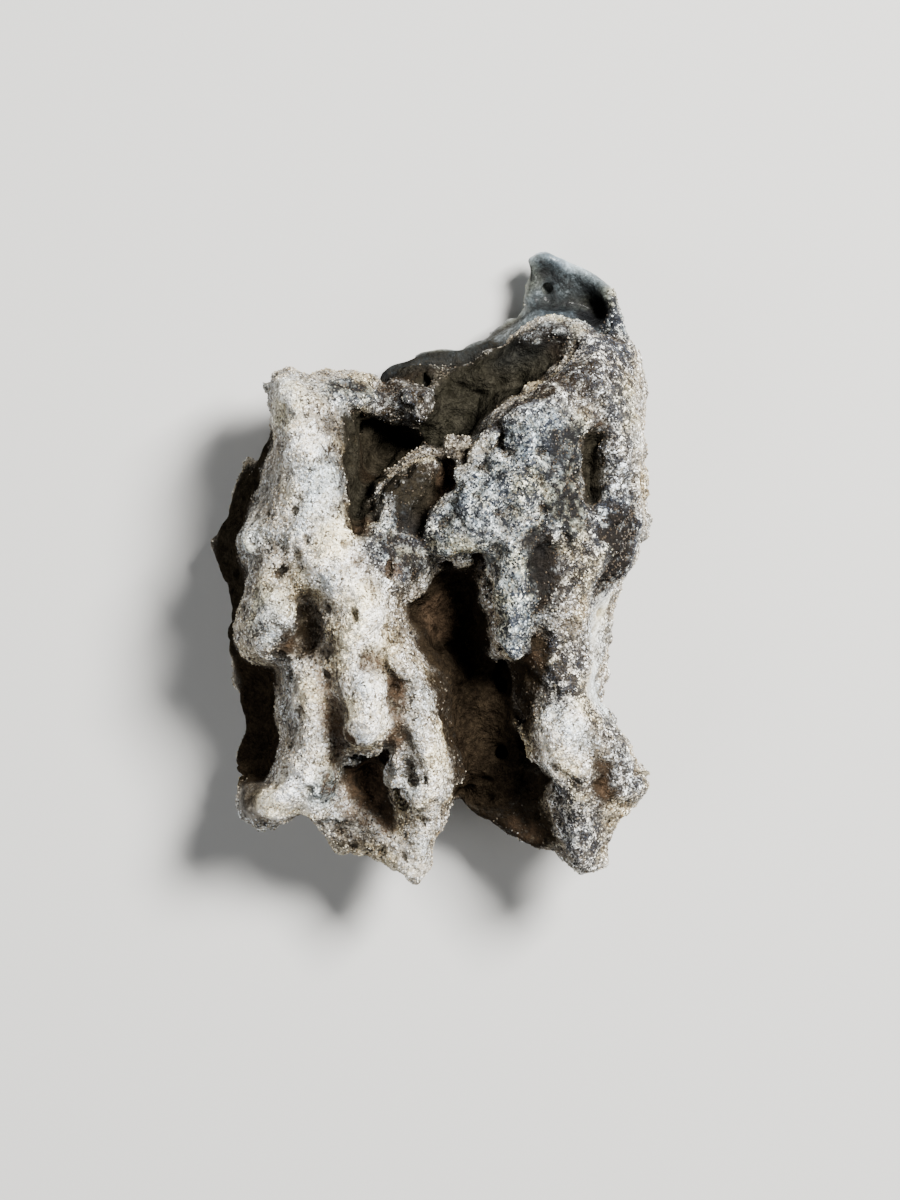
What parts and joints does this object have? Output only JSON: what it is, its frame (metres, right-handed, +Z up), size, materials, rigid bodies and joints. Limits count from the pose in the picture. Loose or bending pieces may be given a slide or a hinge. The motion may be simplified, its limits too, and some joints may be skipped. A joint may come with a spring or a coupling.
{
  "type": "fulgurite",
  "caption": "Rough sand-crusted lightning-glass tube fragment with ridges, hollows and a glassy broken rim, lying on its back.",
  "frame": {"origin": "centre of the bounding box's base, on the surface that the fragment rests on", "axes": "+Y along the tube towards the end with the glassy finger, +Z up through the rough front"},
  "size_m": [0.0438, 0.0626, 0.0265],
  "materials": {
    "fused_sand": "rough granular crust with small glassy glints",
    "quartz_grain": "glossy frosted sand grains stuck in the crust",
    "dark_grain": "glossy dark glass beads and char"
  },
  "bodies": {
    "root": {"fulgurite": "fused_sand"}
  },
  "joints": []
}
